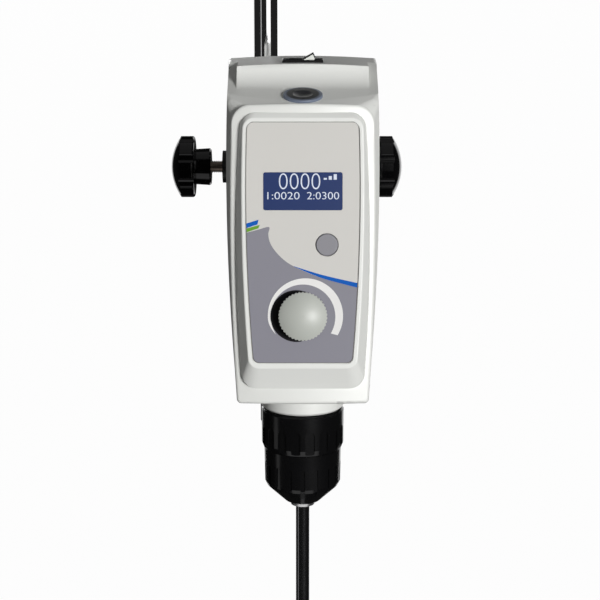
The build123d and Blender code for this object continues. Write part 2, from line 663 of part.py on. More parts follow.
def build_stirring_shaft():
    """Stirring shaft, pushed up through the hollow spindle, its impeller seat marked by a groove."""
    low = SHAFT_TOP - SHAFT_LEN
    shaft = chamfer(cyl(SHAFT_R, low, SHAFT_TOP).edges(), 0.5)
    return shaft - tube(SHAFT_R + 1, SHAFT_R - SEAT_CUT, low + SEAT_LEN, low + SEAT_LEN + 1.0)


# ---------------------------------------------------------------- support
def build_boss():
    """Boss head: one bore for the support rod, one for the arm, screws at both ends."""
    mid = (BOSS_LEFT + BOSS_RIGHT) / 2
    body = Pos(mid, ROD_Y, ARM_Z) * Box(BOSS_RIGHT - BOSS_LEFT, BOSS_D, BOSS_H)
    body = soften(body, body.edges().filter_by(Axis.Y), 7.0)
    body = body + cyl_x(BOSS_END_R, BOSS_LEFT - BOSS_END, BOSS_LEFT + 1, ROD_Y, ARM_Z)
    body = body + cyl_x(BOSS_END_R, BOSS_RIGHT - 1, BOSS_RIGHT + BOSS_END, ROD_Y, ARM_Z)
    body = body - cyl(ROD_R + RUN, 60, 150, ROD_X, ROD_Y)
    body = body - cyl_y(ARM_R + RUN, 140, 220, 0, ARM_Z)
    body = body - cyl_x(STUD_R + RUN, BOSS_LEFT - 20, ROD_X, ROD_Y, ARM_Z)
    return body - cyl_x(STUD_R + RUN, 0, BOSS_RIGHT + 20, ROD_Y, ARM_Z)


def build_stud(side):
    """Clamp screw with a thread relief and a brass-tipped point."""
    tip = ROD_R + 0.12 if side < 0 else ARM_R + 0.12
    face = BOSS_END - (BOSS_LEFT - ROD_X) if side < 0 else BOSS_END + BOSS_RIGHT
    out = face + 8.6
    stud = cyl(STUD_R, tip + 1.5, out)
    point = revolve_z([(0, tip), (2.6, tip), (3.2, tip + 1.6), (0, tip + 1.6)])
    stud = stud + point
    for i in range(6):
        stud = stud - tube(5, STUD_R - 0.45, face + 1.0 + i * 1.25, face + 1.6 + i * 1.25)
    stud = stud + cyl(3.0, out - 0.1, out + 9.0)
    x = ROD_X if side < 0 else 0.0
    return Pos(x, ROD_Y, ARM_Z) * Rot(0, 90 * side, 0) * stud


def build_grip(side):
    """Lobed clamp knob with a stepped hub and a domed head."""
    face = BOSS_END - (BOSS_LEFT - ROD_X) if side < 0 else BOSS_END + BOSS_RIGHT
    hub0 = face + 7.8
    hub1 = hub0 + 11.0
    hub = revolve_z([(0, hub0), (GRIP_HUB_R - 0.8, hub0), (GRIP_HUB_R, hub0 + 0.8), (GRIP_HUB_R - 0.6, hub1), (0, hub1)])
    rise = 6.6
    ball = (GRIP_R ** 2 + rise ** 2) / (2 * rise)
    top = hub1 + 15.6
    head = cyl(GRIP_R, hub1 - 0.1, top) & Pos(0, 0, top - ball) * Sphere(ball)
    head = soften(head, head.edges().group_by(Axis.Z)[-1], 1.6)
    head = soften(head, head.edges().group_by(Axis.Z)[0], 1.6)
    for i in range(8):
        head = head - Rot(0, 0, 22.5 + i * 45) * cyl(4.2, hub1 - 1, hub1 + 20, GRIP_R + 2.6, 0)
    grip = hub + head - cyl(3.0 + RUN, hub0 - 1, hub0 + 10.0) - cyl(STUD_R + 0.2, hub0 - 1, hub0 + 1.0)
    x = ROD_X if side < 0 else 0.0
    return Pos(x, ROD_Y, ARM_Z) * Rot(0, 90 * side, 0) * grip


def build_support_rod():
    """Bright support rod with a turned spigot at its foot."""
    rod = chamfer(cyl(ROD_R, ROD_LOW, ROD_HIGH, ROD_X, ROD_Y).edges(), 0.8)
    spigot = cyl(SPIGOT_R, ROD_LOW - SPIGOT_LEN, ROD_LOW + 1, ROD_X, ROD_Y)
    return rod + chamfer(spigot.edges().group_by(Axis.Z)[0], 1.0)


def build_arm():
    """Round arm between the head and the boss head."""
    rod = cyl_y(ARM_R, ARM_FRONT, ARM_REAR, 0, ARM_Z)
    return chamfer(rod.edges(), 0.8)


def build_arm_socket():
    """Flanged socket in the back plate that takes the arm."""
    socket = Rot(0, 0, 0) * cyl_y(12.0, 80.0, HOUSING_REAR + REAR_PLATE + 6.0, 0, ARM_Z)
    socket = socket + cyl_y(17.0, HOUSING_REAR + REAR_PLATE, HOUSING_REAR + REAR_PLATE + 3.0, 0, ARM_Z)
    return socket - cyl_y(ARM_R + RUN, ARM_FRONT - 0.6, 120, 0, ARM_Z)


PARTS = {
    "front_cover": build_front_cover,
    "panel_label": build_label,
    "lcd_window": build_lcd_window,
    "lcd_module": build_lcd_module,
    "mode_key": build_key,
    "display_board": build_display_board,
    "display_posts": build_display_posts,
    "key_switch": build_key_switch,
    "encoder": build_encoder,
    "encoder_shaft": build_encoder_shaft,
    "knob_skirt": build_knob_skirt,
    "knob_cap": build_knob_cap,
    "rear_shell": build_rear_shell,
    "rear_plate": build_rear_plate,
    "rear_screws": build_rear_screws,
    "screw_bosses": build_screw_bosses,
    "spindle_cap": build_spindle_cap,
    "switch_body": build_switch_body,
    "rocker": build_rocker,
    "neck_collar": build_neck,
    "base_plate": build_base_plate,
    "frame_posts": build_frame_posts,
    "motor_plate": build_motor_plate,
    "top_bracket": build_top_bracket,
    "spindle": build_spindle,
    "lower_bearing": lambda: bearing_outer(-8.4, 16.0, 10.6),
    "lower_bearing_ring": lambda: bearing_inner(-8.0, 10.2),
    "upper_bearing": lambda: bearing_outer(BRACKET_Z + 2, 14.0, 10.0),
    "upper_bearing_ring": lambda: bearing_inner(BRACKET_Z + 2, 9.6),
    "spindle_gear": lambda: gear(GEAR_TEETH, GEAR_Z0, GEAR_Z1, SPINDLE_R),
    "motor_pinion": lambda: Pos(0, MOTOR_Y, 0) * gear(PINION_TEETH, GEAR_Z0 - 0.5, GEAR_Z1 + 0.5, 3.0, PINION_PHASE),
    "motor_shaft": build_motor_shaft,
    "motor": build_motor,
    "motor_screws": build_motor_screws,
    "main_board": build_main_board,
    "board_posts": build_board_posts,
    "board_parts": build_board_parts,
    "power_inlet": build_inlet,
    "fuse_drawer": build_fuse_drawer,
    "fuses": build_fuses,
    "arm_socket": build_arm_socket,
    "chuck_body": build_chuck_body,
    "chuck_jaw_1": lambda: build_jaw(0),
    "chuck_jaw_2": lambda: build_jaw(1),
    "chuck_jaw_3": lambda: build_jaw(2),
    "chuck_upper_sleeve": build_chuck_upper,
    "chuck_lower_sleeve": build_chuck_lower,
    "chuck_nut": build_chuck_nut,
    "nose_ring": build_nose_ring,
    "stirring_shaft": build_stirring_shaft,
    "boss_head": build_boss,
    "rod_clamp_stud": lambda: build_stud(-1),
    "rod_clamp_knob": lambda: build_grip(-1),
    "arm_clamp_stud": lambda: build_stud(1),
    "arm_clamp_knob": lambda: build_grip(1),
    "support_rod": build_support_rod,
    "extension_arm": build_arm,
}

# A tooth of the wheel stands at 0 deg; the pinion sits at 90 deg from it, so its own
# teeth are turned until a gap faces the tooth of the wheel on the line of centres.
wheel_at_line = (math.pi / 2 / (2 * math.pi / GEAR_TEETH)) % 1.0
PINION_PHASE = -math.pi / 2 + (0.5 - wheel_at_line) * 2 * math.pi / PINION_TEETH * -1

for name, build in PARTS.items():
    save(build(), name)
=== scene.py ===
"""Dressing and stage for the overhead stirrer.

Materials, printed panel, display digits, screw threads, light and camera.
"""

import math

import bmesh
import bpy
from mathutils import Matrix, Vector


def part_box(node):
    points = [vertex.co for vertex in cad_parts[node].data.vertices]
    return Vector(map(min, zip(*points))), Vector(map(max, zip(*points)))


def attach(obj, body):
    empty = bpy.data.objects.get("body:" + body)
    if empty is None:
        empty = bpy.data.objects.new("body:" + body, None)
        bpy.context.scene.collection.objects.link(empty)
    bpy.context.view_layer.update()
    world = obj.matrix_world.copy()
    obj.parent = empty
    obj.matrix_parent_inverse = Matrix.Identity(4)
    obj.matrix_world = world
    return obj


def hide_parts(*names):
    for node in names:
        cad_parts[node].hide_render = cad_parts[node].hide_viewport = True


bl_info = {
    "name": "Overhead Stirrer Dressing",
    "version": (1, 0, 0),
    "blender": (4, 5, 0),
    "location": "View3D > Sidebar > Stirrer",
    "description": "Dresses the packed overhead stirrer and sets its stage",
    "category": "Object",
}

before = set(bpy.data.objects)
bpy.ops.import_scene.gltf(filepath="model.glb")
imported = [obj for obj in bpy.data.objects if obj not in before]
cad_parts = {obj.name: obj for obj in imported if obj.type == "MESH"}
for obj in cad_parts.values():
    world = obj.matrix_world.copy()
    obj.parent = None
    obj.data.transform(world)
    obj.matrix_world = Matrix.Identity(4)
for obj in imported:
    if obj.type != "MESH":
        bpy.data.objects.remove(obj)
MM = 0.001

# ------------------------------------------------------------------ sizes, millimetres and degrees
PANEL_Y = -38.0
LEAN, EXTRA_LEAN = 7.69, 2.01
FRAME_LEAN = math.radians(LEAN)
PANEL_LEAN = math.radians(LEAN + EXTRA_LEAN)
PANEL_RISE = 7.84

# printed sheet: widest half, the level of it and the bow; lower and upper edge; corner
SHEET_TOP = -0.3
SHEET_SIDE = (31.3, 118.0, 4.65e-4)
SHEET_LOW, SHEET_HIGH, SHEET_CORNER = 23.9, 155.8, 3.4
CORNER_STEP = 15

# prints: the grey field's upper edge between its two ends, the stripe and the tabs
FIELD_LEFT, FIELD_RIGHT = 95.4, 65.4
FIELD_CREST = ((-25.0, 96.9), (-18.5, 98.5), (-18.9, 94.3), (-17.4, 88.8),
               (-12.5, 82.5), (-4.9, 77.0), (10.5, 70.6))
STRIPE_UPPER, STRIPE_UPPER_END = ((-4.9, 77.1), (10.5, 72.4)), 67.9
STRIPE_UNDER = ((-4.9, 76.9), (10.5, 70.6))
TAB_BLUE = (100.4, (-24.2, 102.5), (-24.8, 99.9), 97.9)
TAB_GREEN = (97.7, (-23.5, 99.7), (-24.3, 97.8), 95.6)
DARK_EDGE = (0.32, 0.02)

# dial arc: centre and radius of both edges, its ends, and how its tail thins out
ARC_OUT, ARC_IN = (1.4, 49.9, 20.6), (0.1, 49.4, 17.7)
ARC_START, ARC_END, ARC_PARTS = math.radians(212), math.radians(-31), 64
TAIL_THIN, TAIL_FROM, TAIL_RUN, TAIL_CURVE = 1.5, 186, 26, 1.4
# painted shadow of the knob: a black disc on the sheet left of the knob, as centre, radius and parts
SHADE_X, SHADE_V, SHADE_RADIUS, SHADE_PARTS = -3.6, 49.8, 14.2, 72

# display: top of the pane, height of the strokes; per row left, foot, width, height, stroke offset
PANE_TOP, STROKE = -0.2, 0.04
DIGIT_ROWS = ((-13.1, 119.1, 22.6, 8.7, -0.018),
              (-19.4, 113.6, 17.6, 4.0, -0.006),
              (2.2, 113.6, 17.6, 4.0, -0.006))
BAR_X, BAR_V, BAR_PITCH, BAR_WIDTH, BAR_STEP, BARS = 11.4, 124.3, 2.7, 1.7, 1.0, 3

# front cover: half width, the level of it and the bow; top, corner and crown
FRONT_DEPTH = 8.0
COVER_SIDE, COVER_TOP, COVER_CORNER = (40.4, 105.0, 3.45e-4), 165.0, 10.5
COVER_CROWN, SIDE_PARTS, CREST_PARTS = 0.8, 14, 6
FOOT_RUN, FOOT_LIMIT = 50.0, 3.0

# shell: what is added behind the cover, then what is kept, as growth sideways and upwards,
# lower edge, corner, depth in slopes and depth in millimetres
COLLAR_INNER = (-3.0, -3.0, 1.0, COVER_CORNER - 3.0)
COLLAR_OUTER = (1.6, 0.2, 1.2, 2.0)
COLLAR_FRONT, COLLAR_PAST = 0.02, 2.0
SHELL_KEEP = ((0.15, 0.1, -0.4, 10.4, 0, -1.0),
              (0.15, 0.1, -0.4, 10.4, 0, 0.0),
              (3.6, 3.95, -2.5, 4.0, 1, 0.0),
              (7.2, 8.1, -5.0, 4.0, 2, 0.0),
              (12.0, 40.0, -12.0, 4.0, 2, 4.0),
              (14.0, 44.0, -30.0, 4.0, 0, 190.0))
NARROW_FROM, NARROW_RUN = 0.02, 0.117
WELD = 2e-6

# upper long edges of the housing: rounding, level, reach of the change, where it starts
EDGE_RADIUS, EDGE_TOP, EDGE_POWER, EDGE_START = 3.6, 181.0, 6, 30
EDGE_NEAR, EDGE_FAR = 1.5, 4.4
SIDE_START, SIDE_RUN = -60.0, 157.0
SIDE_HALF, SIDE_GAIN = 41.97, 4.15
SIDE_BOW, SIDE_BOW_GAIN = 3.746e-4, 0.365e-4
SIDE_ABOVE = 177.4 - 121.0

# clamp screw threads, metres
THREAD = (("Count", 6), ("Pitch", 0.00125), ("Radius", 0.00366), ("Start", 0.001925))
THREAD_SIDES, CREST_SIDES, CREST_RADIUS = 40, 6, 0.00032
BOSS_FACE = {-1: -0.0535, 1: 0.0325}

ROCKER_Y, ROCKER_Z, ROCKER_TILT, ROCKER_SIDE = 45.0, 183.6, 14.0, 5.4
ROCKER_MARK = ((0.6, 0.35), (6.55, 2.0), (6.95, -0.9), (1.9, -2.3), (0.6, -2.3))
MARK_OUT, MARK_IN = 0.1, 0.05


def on_panel(x, v, w=SHEET_TOP):
    """Point in the part's frame, in metres, from panel coordinates in millimetres."""
    y0 = PANEL_Y - PANEL_RISE * math.cos(FRAME_LEAN)
    z0 = PANEL_RISE * math.sin(FRAME_LEAN)
    y = y0 + v * math.sin(PANEL_LEAN) - w * math.cos(PANEL_LEAN)
    z = z0 + v * math.cos(PANEL_LEAN) + w * math.sin(PANEL_LEAN)
    return Vector((x * MM, y * MM, z * MM))


def sheet_half(v):
    """Half width of the printed sheet at a height up the panel."""
    widest, level, bow = SHEET_SIDE
    return widest - bow * (v - level) ** 2


def rgb(r, g, b):
    """Display colour, 0 to 255, as linear values."""
    def lin(c):
        c /= 255.0
        return c / 12.92 if c <= 0.04045 else ((c + 0.055) / 1.055) ** 2.4
    return (lin(r), lin(g), lin(b), 1.0)


# ------------------------------------------------------------------ materials
BUMP_DEEP, WIDE_SCALE, DRIFT_SCALE, COAT_ROUGH = 0.0001, 35.0, 18.0, 0.05


def grain_group():
    """Shared surface grain: a roughness value and a bump normal from object coordinates."""
    name = "surface_grain"
    if name in bpy.data.node_groups:
        return bpy.data.node_groups[name]
    group = bpy.data.node_groups.new(name, "ShaderNodeTree")
    sockets = group.interface
    for label in ("Scale", "Depth", "Roughness", "Spread"):
        sockets.new_socket(label, in_out="INPUT", socket_type="NodeSocketFloat")
    sockets.new_socket("Roughness", in_out="OUTPUT", socket_type="NodeSocketFloat")
    sockets.new_socket("Normal", in_out="OUTPUT", socket_type="NodeSocketVector")
    nodes, links = group.nodes, group.links
    inp = nodes.new("NodeGroupInput")
    out = nodes.new("NodeGroupOutput")
    place = nodes.new("ShaderNodeTexCoord")
    fine = nodes.new("ShaderNodeTexNoise")
    fine.inputs["Detail"].default_value = 3.0
    links.new(place.outputs["Object"], fine.inputs["Vector"])
    links.new(inp.outputs["Scale"], fine.inputs["Scale"])
    bump = nodes.new("ShaderNodeBump")
    bump.inputs["Distance"].default_value = BUMP_DEEP
    links.new(inp.outputs["Depth"], bump.inputs["Strength"])
    links.new(fine.outputs["Fac"], bump.inputs["Height"])
    wide = nodes.new("ShaderNodeTexNoise")
    wide.inputs["Scale"].default_value = WIDE_SCALE
    wide.inputs["Detail"].default_value = 4.0
    links.new(place.outputs["Object"], wide.inputs["Vector"])
    less = nodes.new("ShaderNodeMath")
    less.operation = "SUBTRACT"
    less.inputs[1].default_value = 0.5
    links.new(wide.outputs["Fac"], less.inputs[0])
    mul = nodes.new("ShaderNodeMath")
    mul.operation = "MULTIPLY_ADD"
    links.new(less.outputs[0], mul.inputs[0])
    links.new(inp.outputs["Spread"], mul.inputs[1])
    links.new(inp.outputs["Roughness"], mul.inputs[2])
    links.new(mul.outputs[0], out.inputs["Roughness"])
    links.new(bump.outputs["Normal"], out.inputs["Normal"])
    return group


MADE = {}


def rim_highlight_tint(tree, inside, centre, radii, color):
    """Colour that changes over to a second one between two radii around an upright axis: a painted
    highlight on a rim.
    """
    nodes, links = tree.nodes, tree.links
    place = nodes.new("ShaderNodeTexCoord")
    flat = nodes.new("ShaderNodeMapping")
    flat.inputs["Location"].default_value = (-centre[0], -centre[1], 0.0)
    flat.inputs["Scale"].default_value = (1.0, 1.0, 0.0)
    away = nodes.new("ShaderNodeVectorMath")
    away.operation = "LENGTH"
    share = nodes.new("ShaderNodeMapRange")
    share.inputs["From Min"].default_value, share.inputs["From Max"].default_value = radii
    over = nodes.new("ShaderNodeMix")
    over.data_type = "RGBA"
    over.inputs["B"].default_value = color
    links.new(place.outputs["Object"], flat.inputs["Vector"])
    links.new(flat.outputs["Vector"], away.inputs[0])
    links.new(away.outputs["Value"], share.inputs["Value"])
    links.new(share.outputs["Result"], over.inputs["Factor"])
    links.new(inside, over.inputs["A"])
    return over.outputs["Result"]


def material(name, color, rough=0.4, metal=0.0, scale=900.0, depth=0.1, spread=0.08,
             specular=0.5, coat=0.0, emit=0.0, clear=0.0, shift=0.02, ring=None):
    """Principled material with shared grain and a faint drift of its colour."""
    if name in MADE:
        return MADE[name]
    made = MADE[name] = bpy.data.materials.new(f"{name}_finish")
    made.use_nodes = True
    tree = made.node_tree
    nodes, links = tree.nodes, tree.links
    bsdf = nodes["Principled BSDF"]
    grain = nodes.new("ShaderNodeGroup")
    grain.node_tree = grain_group()
    grain.inputs["Scale"].default_value = scale
    grain.inputs["Depth"].default_value = depth
    grain.inputs["Roughness"].default_value = rough
    grain.inputs["Spread"].default_value = spread
    links.new(grain.outputs["Roughness"], bsdf.inputs["Roughness"])
    links.new(grain.outputs["Normal"], bsdf.inputs["Normal"])
    place = nodes.new("ShaderNodeTexCoord")
    drift = nodes.new("ShaderNodeTexNoise")
    drift.inputs["Scale"].default_value = DRIFT_SCALE
    links.new(place.outputs["Object"], drift.inputs["Vector"])
    mix = nodes.new("ShaderNodeMix")
    mix.data_type = "RGBA"
    mix.inputs["A"].default_value = [max(0.0, c * (1 - shift)) for c in color[:3]] + [1.0]
    mix.inputs["B"].default_value = [min(1.0, c * (1 + shift)) for c in color[:3]] + [1.0]
    links.new(drift.outputs["Fac"], mix.inputs["Factor"])
    tint = mix.outputs["Result"]
    # ring: a lighter outer ring of colour, a painted highlight
    if ring:
        tint = rim_highlight_tint(tree, tint, *ring)
    links.new(tint, bsdf.inputs["Base Color"])
    bsdf.inputs["Metallic"].default_value = metal
    bsdf.inputs["Specular IOR Level"].default_value = specular
    bsdf.inputs["Coat Weight"].default_value = coat
    bsdf.inputs["Coat Roughness"].default_value = COAT_ROUGH
    bsdf.inputs["Transmission Weight"].default_value = clear
    if emit:
        links.new(mix.outputs["Result"], bsdf.inputs["Emission Color"])
        bsdf.inputs["Emission Strength"].default_value = emit
    made.diffuse_color = color
    return made


LOOKS = {
    "housing": dict(color=rgb(232, 233, 229), rough=0.42, depth=0.05),
    "sheet": dict(color=rgb(208, 206, 201), rough=0.55, depth=0.12, scale=1400.0),
    "print_grey": dict(color=rgb(130, 129, 139), rough=0.55, depth=0.12, scale=1400.0),
    "print_blue": dict(color=rgb(8, 92, 186), rough=0.6, depth=0.1, specular=0.12),
    "print_green": dict(color=rgb(108, 160, 52), rough=0.6, depth=0.1, specular=0.12),
    "print_white": dict(color=rgb(233, 232, 230), rough=0.5, depth=0.1),
    # painted shadow: black for the disc beside the knob, standing in for the knob's cast shadow
    "knob_shadow_black": dict(color=rgb(14, 13, 18), rough=0.7, depth=0.1, specular=0.2),
    "print_edge": dict(color=rgb(96, 94, 92), rough=0.6, depth=0.05),
    "display_blue": dict(color=rgb(41, 58, 106), rough=0.22, depth=0.03, coat=0.3),
    "display_digit": dict(color=rgb(205, 212, 226), rough=0.5, depth=0.05, emit=0.15),
    "key_grey": dict(color=rgb(134, 133, 139), rough=0.5, depth=0.1),
    "knob_grey": dict(color=rgb(188, 191, 184), rough=0.42, depth=0.03),
    "plastic_black": dict(color=rgb(11, 11, 12), rough=0.2, depth=0.05, specular=0.5),
    "rocker_mark": dict(color=rgb(226, 228, 222), rough=0.35, depth=0.05),
    "screw_dark": dict(color=(0.16, 0.13, 0.11, 1.0), rough=0.3, metal=1.0, depth=0.08),
    "gloss_black": dict(color=rgb(6, 6, 7), rough=0.08, depth=0.03, specular=0.4),
    "coat_black": dict(color=rgb(17, 17, 18), rough=0.4, depth=0.3, scale=1500.0, specular=0.35),
    # dark cap whose lighter bluish-grey rim is a painted highlight, standing in for the lit crescent
    # on its rim
    "cap_dark": dict(color=rgb(34, 35, 38), rough=0.3, depth=0.35, scale=700.0, specular=0.4,
                     ring=((0.0, 0.0028), (0.0086, 0.0098), rgb(112, 121, 138))),
    "chrome": dict(color=(0.86, 0.86, 0.87, 1.0), rough=0.06, metal=1.0, depth=0.02, spread=0.03),
    "steel": dict(color=(0.62, 0.62, 0.63, 1.0), rough=0.25, metal=1.0, depth=0.06),
    "steel_bright": dict(color=(0.85, 0.85, 0.85, 1.0), rough=0.35, metal=1.0, depth=0.04),
    "shaft_steel": dict(color=(0.3, 0.3, 0.31, 1.0), rough=0.16, metal=1.0, depth=0.03),
    "aluminium": dict(color=(0.75, 0.75, 0.76, 1.0), rough=0.38, metal=1.0, depth=0.2),
    "brass": dict(color=(0.66, 0.47, 0.2, 1.0), rough=0.28, metal=1.0, depth=0.08),
    "board_green": dict(color=rgb(20, 96, 52), rough=0.4, depth=0.1),
    "fuse_glass": dict(color=rgb(214, 220, 220), rough=0.1, depth=0.02, clear=0.6),
}

NODE_LOOKS = {
    "housing": ("front_cover", "rear_shell", "rear_plate", "screw_bosses", "neck_collar",
                "display_posts"),
    "sheet": ("panel_label",),
    "display_blue": ("lcd_window", "lcd_module"),
    "key_grey": ("mode_key",),
    "knob_grey": ("knob_cap",),
    "plastic_black": ("knob_skirt", "switch_body", "key_switch", "board_parts", "power_inlet",
                      "fuse_drawer", "rocker", "chuck_upper_sleeve", "chuck_lower_sleeve"),
    "gloss_black": ("rod_clamp_knob", "arm_clamp_knob"),
    "coat_black": ("boss_head",),
    "cap_dark": ("spindle_cap",),
    "screw_dark": ("rod_clamp_stud", "arm_clamp_stud"),
    "chrome": ("support_rod", "extension_arm"),
    "steel_bright": ("nose_ring",),
    "steel": ("rear_screws", "encoder", "encoder_shaft", "frame_posts", "spindle",
              "lower_bearing", "lower_bearing_ring", "upper_bearing", "upper_bearing_ring",
              "motor_pinion", "motor_shaft", "motor", "motor_screws", "chuck_body",
              "chuck_jaw_1", "chuck_jaw_2", "chuck_jaw_3", "chuck_nut"),
    "shaft_steel": ("stirring_shaft",),
    "aluminium": ("base_plate", "motor_plate", "top_bracket", "arm_socket"),
    "brass": ("spindle_gear", "board_posts"),
    "board_green": ("display_board", "main_board"),
    "fuse_glass": ("fuses",),
}


def look(name):
    """Material of that name from the table."""
    return material(name, **LOOKS[name])


def add_object(name, data):
    """Object of that data, linked to the scene."""
    made = bpy.data.objects.new(name, data)
    bpy.context.scene.collection.objects.link(made)
    return made


def evaluated_mesh(piece):
    """Mesh of an object with its modifiers applied."""
    graph = bpy.context.evaluated_depsgraph_get()
    return bpy.data.meshes.new_from_object(piece.evaluated_get(graph))


def new_piece(name, verts, faces, look_name, body="head"):
    """Mesh object of a finished piece, riding on a body."""
    mesh = bpy.data.meshes.new(name)
    mesh.from_pydata([tuple(v) for v in verts], [], faces)
    mesh.update()
    piece = add_object(name, mesh)
    mesh.materials.append(look(look_name))
    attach(piece, body)
    return piece


def flat_print(name, outline, look_name, lift=0.03, thick=0.02):
    """Thin printed patch on the panel from an outline in panel millimetres."""
    count = len(outline)
    top = [on_panel(x, v, SHEET_TOP + lift) for x, v in outline]
    low = [on_panel(x, v, SHEET_TOP + lift - thick) for x, v in outline]
    faces = [tuple(range(count)), tuple(range(2 * count - 1, count - 1, -1))]
    faces += [(i, i + count, (i + 1) % count + count, (i + 1) % count) for i in range(count)]
    return new_piece(name, top + low, faces, look_name)


def strip_print(name, inner, outer, look_name, lift=0.06, thick=0.02):
    """Thin printed band between two runs of points of the same length."""
    count = len(inner)
    verts, faces = [], []
    for w in (SHEET_TOP + lift, SHEET_TOP + lift - thick):
        verts += [on_panel(x, v, w) for x, v in inner] + [on_panel(x, v, w) for x, v in outer]
    half = 2 * count
    for i in range(count - 1):
        a, b, c, d = i, i + 1, count + i + 1, count + i
        faces += [(a, b, c, d), (half + d, half + c, half + b, half + a)]
        faces += [(a, half + a, half + b, b), (c, half + c, half + d, d)]
    last = count - 1
    faces += [(0, count, half + count, half), (last, half + last, half + count + last, count + last)]
    return new_piece(name, verts, faces, look_name)


def smooth_run(points, steps=8):
    """Catmull-Rom run through points."""
    run = []
    for i in range(len(points) - 1):
        p0 = points[max(i - 1, 0)]
        p1, p2 = points[i], points[i + 1]
        p3 = points[min(i + 2, len(points) - 1)]
        for k in range(steps):
            t = k / steps
            run.append(tuple(0.5 * (2 * b + (c - a) * t + (2 * a - 5 * b + 4 * c - d) * t * t
                                    + (3 * b - a - 3 * c + d) * t ** 3)
                             for a, b, c, d in zip(p0, p1, p2, p3)))
    run.append(points[-1])
    return run


# ------------------------------------------------------------------ settings
class StirrerSettings(bpy.types.PropertyGroup):
    speed: bpy.props.IntProperty(
        name="Shown speed", description="Number in the display's top row",
        default=0, min=0, max=9999)
    left_value: bpy.props.IntProperty(
        name="Lower left number", description="Number at the display's lower left",
        default=20, min=0, max=9999)
    right_value: bpy.props.IntProperty(
        name="Lower right number", description="Number at the display's lower right",
        default=300, min=0, max=9999)
    shell_slope: bpy.props.FloatProperty(
        name="Shell slope",
        description="Depth over which the shell's front edge slopes back from the cover, "
                    "in millimetres",
        default=8.0, min=2.0, max=14.0)
    shell_width: bpy.props.FloatProperty(
        name="Shell front width", description="Width of the shell's front edge against the solid's",
        default=0.982, min=0.95, max=1.0, subtype="FACTOR")
    edge_gap: bpy.props.FloatProperty(
        name="Print margin", description="Bare edge of the printed sheet, in millimetres",
        default=0.15, min=0.0, max=2.0, subtype="DISTANCE", unit="NONE")


# ------------------------------------------------------------------ pieces
class STIRRER_OT_dress(bpy.types.Operator):
    """Give every solid of the frame its material"""
    bl_idname = "stirrer.dress"
    bl_label = "Dress the frame"

    def execute(self, context):
        for look_name, nodes in NODE_LOOKS.items():
            for node in nodes:
                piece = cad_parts[node]
                piece.data.materials.clear()
                piece.data.materials.append(look(look_name))
        return {"FINISHED"}


def sheet_border(gap):
    """Closed outline of the printed sheet, drawn in by gap."""
    radius = SHEET_CORNER
    run = []
    for side, low in ((1, True), (1, False), (-1, False), (-1, True)):
        v = SHEET_LOW + gap + radius if low else SHEET_HIGH - gap - radius
        cx = side * (sheet_half(v) - gap - radius)
        start = {(1, True): -90, (1, False): 0, (-1, False): 90, (-1, True): 180}[(side, low)]
        for t in range(0, 91, CORNER_STEP):
            a = math.radians(start + t)
            run.append((cx + radius * math.cos(a), v + radius * math.sin(a)))
        if (side, low) == (1, True):
            run += [(sheet_half(h) - gap, h) for h in range(30, 152, 6)]
        if (side, low) == (-1, False):
            run += [(gap - sheet_half(h), h) for h in range(150, 28, -6)]
    return run + run[:1]


def behind_front(u, v, w):
    """Point in metres from the leaning front plane's coordinates in millimetres, w outward."""
    c, d = math.cos(FRAME_LEAN), math.sin(FRAME_LEAN)
    return Vector((u * MM, (PANEL_Y + v * d - w * c) * MM, (v * c + w * d) * MM))


def cover_loop(grow, top_grow, low, corner):
    """Outline of the front cover, grown sideways and upwards, as points of the front plane."""
    widest, level, bow = COVER_SIDE

    def half(v):
        at_foot = 0.0 < grow < FOOT_LIMIT
        spread = grow * min(1.0, max(v, 0.0) / FOOT_RUN) if at_foot else grow
        return widest - bow * (v - level) ** 2 + spread

    top = COVER_TOP + top_grow
    cv = top - corner
    side = [(half(v), v) for v in [low + (cv - low) * i / SIDE_PARTS for i in range(SIDE_PARTS + 1)]]
    cx = half(cv) - corner
    arc = [(cx + corner * math.cos(math.radians(t)), cv + corner * math.sin(math.radians(t)))
           for t in range(10, 91, 10)]
    crest = [(cx * (1 - i / CREST_PARTS), top + COVER_CROWN * (1 - (1 - i / CREST_PARTS) ** 2))
             for i in range(1, CREST_PARTS)]
    right = side + arc + crest
    return right + [(0.0, top + COVER_CROWN)] + [(-u, v) for u, v in right[::-1]]


def weld(mesh):
    """Join the vertices of a mesh that lie on one another."""
    work = bmesh.new()
    work.from_mesh(mesh)
    bmesh.ops.remove_doubles(work, verts=work.verts, dist=WELD)
    work.to_mesh(mesh)
    work.free()


def loop_solid(name, rings, closed=False):
    """Closed solid through rings of points of one length, capped, or joined last to first."""
    count, total = len(rings[0]), len(rings)
    verts = [tuple(point) for ring in rings for point in ring]
    caps = [tuple(range(count))[::-1], tuple((total - 1) * count + i for i in range(count))]
    faces = [] if closed else caps
    for r in range(total if closed else total - 1):
        a, b = r * count, (r + 1) % total * count
        faces += [(a + i, a + (i + 1) % count, b + (i + 1) % count, b + i) for i in range(count)]
    mesh = bpy.data.meshes.new(name)
    mesh.from_pydata(verts, [], faces)
    work = bmesh.new()
    work.from_mesh(mesh)
    bmesh.ops.recalc_face_normals(work, faces=work.faces)
    work.to_mesh(mesh)
    work.free()
    return mesh


def combine(mesh, other, kind):
    """Boolean of two meshes, as a new mesh."""
    first, second = add_object("first", mesh), add_object("second", other)
    mod = first.modifiers.new("cut", "BOOLEAN")
    mod.object, mod.operation, mod.solver = second, kind, "EXACT"
    result = evaluated_mesh(first)
    bpy.data.objects.remove(first)
    bpy.data.objects.remove(second)
    return result


